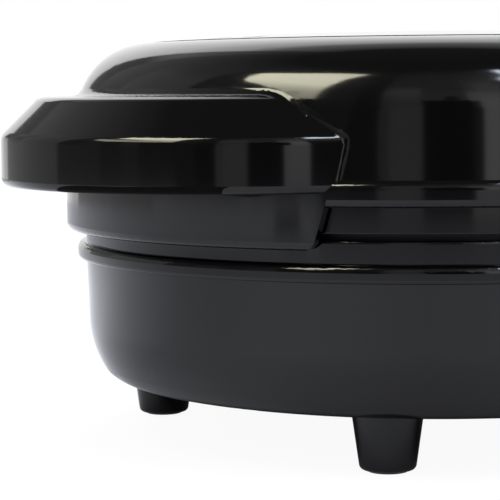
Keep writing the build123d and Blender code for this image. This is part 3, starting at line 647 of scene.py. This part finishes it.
# %% Backdrop, flag and wall
TOP = 68                     # elevation of a card's upper edge
cards = [
    ("side_sweep", 88, 120, [(0, 0.40), (38, 0.40), (46, 0.28), (60, 0.15), (TOP, 0.07)]),
    ("shaded_sweep", 120, 136, [(0, 0.40), (10, 0.30), (18, 0.24), (26, 0.31), (36, 0.32),
                                (46, 0.28), (60, 0.15), (TOP, 0.07)]),
    ("turning_sweep", 136, 146, [(0, 1.00), (8, 0.85), (12, 0.19), (34, 0.19), (38, 0.42),
                                 (42, 0.55), (48, 0.42), (60, 0.20), (TOP, 0.10)]),
    ("back_sweep", 146, 232, [(0, 1.05), (14, 1.25), (26, 1.65), (38, 2.0), (50, 1.8), (56, 0.7),
                              (TOP, 0.15)]),
    ("right_flag", 232, 335.5, [(0, 0.04), (30, 0.08), (40, 0.40), (52, 0.30), (TOP, 0.07)]),
    ("wall_bright", -24.5, -16.5, [(0, 0.72), (10, 1.0), (24, 1.05), (32, 0.88), (38, 0.60),
                                   (48, 0.46), (54, 0.26), (TOP, 0.08)]),
    ("wall_middle", -16.5, -12, [(0, 0.75), (34, 0.74), (38, 0.42), (48, 0.34), (56, 0.23),
                                 (TOP, 0.08)]),
    ("wall_behind", -12, 1.5, [(0, 0.26), (34, 0.26), (42, 0.22), (58, 0.20), (TOP, 0.08)]),
    ("wall_left", 1.5, 11, [(0, 0.38), (14, 0.36), (24, 0.31), (32, 0.42), (38, 0.46), (44, 0.24),
                            (56, 0.19), (TOP, 0.07)]),
    ("wall_shade", 11, 14, [(0, 0.33), (14, 0.22), (28, 0.30), (36, 0.42), (44, 0.24), (56, 0.17),
                            (TOP, 0.07)]),
    ("flag_edge", 14, 22, [(0, 0.035), (30, 0.07), (48, 0.10), (60, 0.11), (TOP, 0.07)]),
    ("flag_near", 22, 34, [(0, 0.07), (18, 0.09), (30, 0.12), (48, 0.16), (60, 0.10), (TOP, 0.07)]),
    ("flag_fold", 34, 46, [(0, 0.08), (60, 0.10), (TOP, 0.07)]),
    ("flag_middle", 46, 54, [(0, 0.12), (12, 0.19), (60, 0.15), (TOP, 0.07)]),
    ("flag_shade", 54, 64, [(0, 0.11), (60, 0.13), (TOP, 0.07)]),
    ("flag_far", 64, 74, [(0, 0.16), (60, 0.16), (TOP, 0.07)]),
    ("flag_end", 74, 88, [(0, 0.17), (14, 0.12), (60, 0.17), (TOP, 0.07)]),
]
for name, turn_from, turn_to, stops in cards:
    heights = [(rise(elevation), level) for elevation, level in stops]
    stock = glow(name + "_stock", "ffffff", heights)
    curved_card(name, turn_from, turn_to, 0.0, rise(TOP), stock)

# %% [markdown]
# The camera stands before that wall, so it shows in the gloss as a dark block, with a shoulder at
# one side and a hood on top. Each part has its turns, its lowest and highest elevation and its
# level.

# %% The camera as a dark block
CAMERA_CARD = 1.15
block_parts = [("camera_block", "camera_body", -13.5, 1.0, 0, 26, 0.03),
               ("camera_shoulder", "camera_grip", -16.5, -13.5, 6, 25, 0.08),
               ("camera_hood", "camera_top", -9.5, -5.5, 26, 31, 0.07)]
for name, stock, turn_from, turn_to, bottom, top, level in block_parts:
    curved_card(name, turn_from, turn_to, rise(bottom, CAMERA_CARD), rise(top, CAMERA_CARD),
                glow(stock, "ffffff", level), CAMERA_CARD)

# %% [markdown]
# Two softboxes make the bright highlights. The first is a warm one high on the left, which lies
# along the lid's shoulder and the handle's edge. Its outline is the shape of its highlight on the
# lid, laid out on an upright plane: each corner is a distance across and a height. A warm board
# under it brightens the lower edge of the handle's highlight.

# %% Warm softbox and board
WARM_TURN, WARM_DISTANCE, BOARD_DISTANCE = 60, 0.70, 0.50
across = studio_direction(WARM_TURN + 90)


def upright(distance, outline):
    """Corners on an upright plane at that distance, square to the warm softbox's direction."""
    foot = body_axis + studio_direction(WARM_TURN) * distance
    return [foot + across * aside + Vector((0, 0, height)) for aside, height in outline]


warm_outline = [(-0.35, 0.43), (-0.25, 0.43), (-0.17, 0.54), (-0.05, 0.65), (0.08, 0.71),
                (0.14, 0.76), (0.18, 1.00), (-0.02, 1.12), (-0.24, 1.33), (-0.46, 1.50),
                (-0.36, 1.06), (-0.34, 0.80)]
warm_levels = [(0.43, 4.0), (0.60, 6.5), (0.78, 11.5), (1.05, 12.0), (1.50, 10.0)]
flat_card("warm_softbox", upright(WARM_DISTANCE, warm_outline),
          glow("warm_silk", "fffbe0", warm_levels))
board_outline = [(-0.19, 0.30), (0.02, 0.29), (0.09, 0.35), (0.11, 0.43), (-0.05, 0.41),
                 (-0.19, 0.41)]
flat_card("warm_board", upright(BOARD_DISTANCE, board_outline),
          glow("warm_board_stock", "fffbe0", 4.0))

# %% [markdown]
# Three small cards trim the reflections low down. A narrow black strip under the handle, bent
# round the handle's middle, is painted shade: it darkens the handle's lower edge, as the shade
# under the handle would. A low white board where the table ends is what the skirt under the
# handle shows along its top. A black card that lies just above the floor makes the dark smudge
# at the right end of the skirt.

# %% Shade strip, low board and dark floor card
HANDLE_RADIUS = 73 * MM
STRIP_DROP, STRIP_INSIDE, STRIP_OUTSIDE = 1.5 * MM, 7 * MM, 15 * MM
STRIP_ANGLES = range(8, 51, 3)
TABLE_END, DARK_CARD_LIFT = 1.19, 1 * MM
BOARD_TOP = 0.60             # elevation in degrees
handle_middle = Vector((0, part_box("lid_shell")[0].y + HANDLE_RADIUS,
                        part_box("handle_cover")[0].z - STRIP_DROP))
strip_outline = []
for radius, angles in ((HANDLE_RADIUS - STRIP_INSIDE, STRIP_ANGLES),
                       (HANDLE_RADIUS + STRIP_OUTSIDE, reversed(STRIP_ANGLES))):
    for angle in map(math.radians, angles):
        strip_outline.append(handle_middle + Vector((math.sin(angle), -math.cos(angle), 0)) * radius)
# The black strip is painted shade: it darkens the handle's lower edge as the shade under the handle
# does.
flat_card("handle_shade_strip", strip_outline, glow("painted_shade_stock", "ffffff", 0.08))
curved_card("table_edge", 30, 88, 0.0, rise(BOARD_TOP), glow("table_edge_board", "f4f6ff", 0.80),
            TABLE_END)
# A black card just above the floor makes the dark smudge at the right end of the skirt.
dark_card_outline = [(36, 0.93), (44, 0.93), (43, 1.11), (36, 1.11)]
flat_card("dark_floor_card",
          [studio_point(turn, distance, DARK_CARD_LIFT) for turn, distance in dark_card_outline],
          glow("dark_floor_stock", "ffffff", 0.0))

# %% [markdown]
# The second softbox is a cooler one, nearly overhead on the right. It lies level, and each corner
# of its outline is a distance ahead, towards the camera, and a distance to the right.

# %% Cool softbox
COOL_HEIGHT = 1.5
ahead = studio_direction(0)
aside = studio_direction(-90)
cool_outline = [(0.56, 0.39), (0.63, 0.41), (0.80, 0.52), (0.95, 0.53), (1.50, 0.75),
                (1.50, 1.20), (0.95, 0.92), (0.56, 0.74)]
overhead = body_axis + Vector((0, 0, COOL_HEIGHT))
cool_corners = [overhead + ahead * forth + aside * sideways for forth, sideways in cool_outline]
flat_card("cool_softbox", cool_corners, glow("cool_silk", "e6f2ff", 14.0))

# %% [markdown]
# The floor is white paper on a table. The gloss of the base shows how bright it is by distance
# and by turn: dim right under the object, where the object's shadow falls, pale round it, grey
# farther out, brighter towards the back left, and at one level beyond the shade at the far left.
# An area lamp could light it so, but that lamp would light the object too. So this light and
# shadow are painted on the paper itself, for reflections only: one ramp by distance, which holds
# the painted shadow, one by turn, and the far left laid over both.

# %% Painted light and shadow of the floor, as the gloss shows it
FLOOR_SIZE = 8.0
PAPER_REACH = 1.2            # how far the ramp by distance goes
FAR_FROM, FAR_TURN, FAR_LEVEL = 0.82, 32, 0.81    # where the far left starts, and its level
GLOSS_GAIN = 1.04
BEHIND = 180                 # the turn at which the radial gradient starts
deselect_all()
bpy.ops.mesh.primitive_plane_add(size=FLOOR_SIZE, location=(body_axis.x, body_axis.y, 0))
floor = bpy.context.active_object
floor.name = "studio_floor"
paper, tree, shader = new_material("white_paper_painted_light_and_shadow", "f2f2f2", roughness=0.9)
floor.data.materials.append(paper)
place = add_node(tree, "ShaderNodeTexCoord")
distance = add_node(tree, "ShaderNodeVectorMath", [(0, place.outputs["Object"])],
                    operation="LENGTH")
# Painted shadow: the ramp by distance is dim right under the object, where its shadow falls.
by_distance, distance_scale = ramp_of(
    tree, distance.outputs["Value"], 0.0, PAPER_REACH,
    [(0.075, 0.03), (0.085, 0.11), (0.092, 0.26), (0.10, 0.39), (0.108, 0.50), (0.12, 0.57),
     (0.15, 0.63), (0.23, 0.72), (0.42, 0.72), (0.62, 0.62), (0.72, 0.45), (0.80, 0.40),
     (1.15, 0.38)])
aim = add_node(tree, "ShaderNodeMapping", [("Vector", place.outputs["Object"])])
aim.inputs["Rotation"].default_value = (0, 0, math.pi / 2 - CAMERA_AZIMUTH)
around = add_node(tree, "ShaderNodeTexGradient", [("Vector", aim.outputs["Vector"])],
                  gradient_type="RADIAL")
by_turn, turn_scale = ramp_of(
    tree, around.outputs["Fac"], 0.0, 1.0,
    [((BEHIND - turn) / 360, level) for turn, level in
     [(170, 1.8), (120, 1.7), (105, 1.38), (90, 1.15), (75, 0.97), (60, 1.0), (45, 1.12),
      (32, 1.15), (15, 1.05), (0, 0.95), (-15, 1.0), (-35, 1.15), (-170, 1.15)]])
whole = distance_scale * turn_scale
far = add_node(tree, "ShaderNodeMath", [(0, distance.outputs["Value"])], operation="GREATER_THAN")
far.inputs[1].default_value = FAR_FROM
left = add_node(tree, "ShaderNodeMath", [(0, around.outputs["Fac"])], operation="LESS_THAN")
left.inputs[1].default_value = (BEHIND - FAR_TURN) / 360
far_left = add_node(tree, "ShaderNodeMath", [(0, far.outputs["Value"]), (1, left.outputs["Value"])],
                    operation="MULTIPLY")
print("floor levels up to", round(whole, 2))

# %% [markdown]
# Three Mix nodes put the levels together: the two ramps are multiplied, the far left is laid over
# them, and a tint is multiplied in, because the paper is a little cool. In a Mix node for colours,
# inputs 6 and 7 are the two colours and output 2 is the result.

# %% Mixing the levels of the paper
both_ramps = add_node(tree, "ShaderNodeMix",
                      [(6, by_distance.outputs["Color"]), (7, by_turn.outputs["Color"])],
                      data_type="RGBA", blend_type="MULTIPLY", factor=1.0)
with_far = add_node(tree, "ShaderNodeMix",
                    [("Factor", far_left.outputs["Value"]), (6, both_ramps.outputs[2])],
                    data_type="RGBA")
with_far.inputs[7].default_value = [FAR_LEVEL / whole] * 3 + [1]
tinted = add_node(tree, "ShaderNodeMix", [(6, with_far.outputs[2])],
                  data_type="RGBA", blend_type="MULTIPLY", factor=1.0)
tinted.inputs[7].default_value = srgb("f4f6ff")
in_gloss = add_node(tree, "ShaderNodeEmission", [("Color", tinted.outputs[2])],
                    strength=GLOSS_GAIN * whole)
print("far left at", FAR_LEVEL)

# %% [markdown]
# The camera sees the paper glow almost white, as in a studio where the background is lit on its
# own, and a part of what it sees stays plain lit paper, which keeps the object's shadow.
# Reflections see the levels above, and all other light meets plain paper.

# %% What each kind of ray sees of the floor
PAPER_GLOW, GLOW_SHARE = 1.08, 0.87
backlit = add_node(tree, "ShaderNodeEmission", color=srgb("ffffff"), strength=PAPER_GLOW)
path = add_node(tree, "ShaderNodeLightPath")
seen = add_node(tree, "ShaderNodeMath", [(0, path.outputs["Is Camera Ray"])], operation="MULTIPLY")
seen.inputs[1].default_value = GLOW_SHARE
for_camera = add_node(tree, "ShaderNodeMixShader",
                      [("Fac", seen.outputs["Value"]), (1, shader.outputs["BSDF"]),
                       (2, backlit.outputs["Emission"])])
for_all = add_node(tree, "ShaderNodeMixShader",
                   [("Fac", path.outputs["Is Glossy Ray"]), (1, for_camera.outputs["Shader"]),
                    (2, in_gloss.outputs["Emission"])])
tree.links.new(for_all.outputs["Shader"], tree.nodes["Material Output"].inputs["Surface"])
print("the camera sees", GLOW_SHARE, "of the floor glow")

# %% [markdown]
# The world is white to the camera, a dark ceiling to reflections, and soft light to everything
# else.

# %% World
SOFT_LIGHT, CEILING, WHITE = 0.70, 0.075, 1.0
world = bpy.data.worlds.new("studio")
bpy.context.scene.world = world
world.use_nodes = True
tree = world.node_tree
tree.nodes.clear()
path = add_node(tree, "ShaderNodeLightPath")
soft, ceiling, white = [
    add_node(tree, "ShaderNodeBackground", color=srgb("ffffff"), strength=level).outputs[0]
    for level in (SOFT_LIGHT, CEILING, WHITE)]
for_light = add_node(tree, "ShaderNodeMixShader",
                     [("Fac", path.outputs["Is Glossy Ray"]), (1, soft), (2, ceiling)])
for_all = add_node(tree, "ShaderNodeMixShader",
                   [("Fac", path.outputs["Is Camera Ray"]), (1, for_light.outputs["Shader"]),
                    (2, white)])
add_node(tree, "ShaderNodeOutputWorld", [("Surface", for_all.outputs["Shader"])])
bpy.context.scene.view_settings.view_transform = "Standard"
print("world light", SOFT_LIGHT)

# %% [markdown]
# One large soft lamp overhead gives the plain light in which colours look as written. Reflections
# skip it, because the softbox cards already stand for the lamps that show in the gloss.

# %% Lamp
LAMP_TURN, LAMP_DISTANCE, LAMP_HEIGHT = 20, 0.3, 1.5
LAMP_SIZE, LAMP_POWER = 1.1, 9
MIDDLE_HEIGHT = 0.06         # of the object, where the lamp points
lamp_data = bpy.data.lights.new("top_softbox", "AREA")
lamp_data.shape = "RECTANGLE"
lamp_data.size = LAMP_SIZE
lamp_data.size_y = LAMP_SIZE
lamp_data.energy = LAMP_POWER
lamp = bpy.data.objects.new("top_softbox", lamp_data)
bpy.context.scene.collection.objects.link(lamp)
lamp.location = studio_point(LAMP_TURN, LAMP_DISTANCE, LAMP_HEIGHT)
target = body_axis + Vector((0, 0, MIDDLE_HEIGHT))
lamp.rotation_euler = (lamp.location - target).to_track_quat("Z", "Y").to_euler()
lamp.visible_glossy = False
print("lamp of", LAMP_POWER, "W at", [round(v, 2) for v in lamp.location])
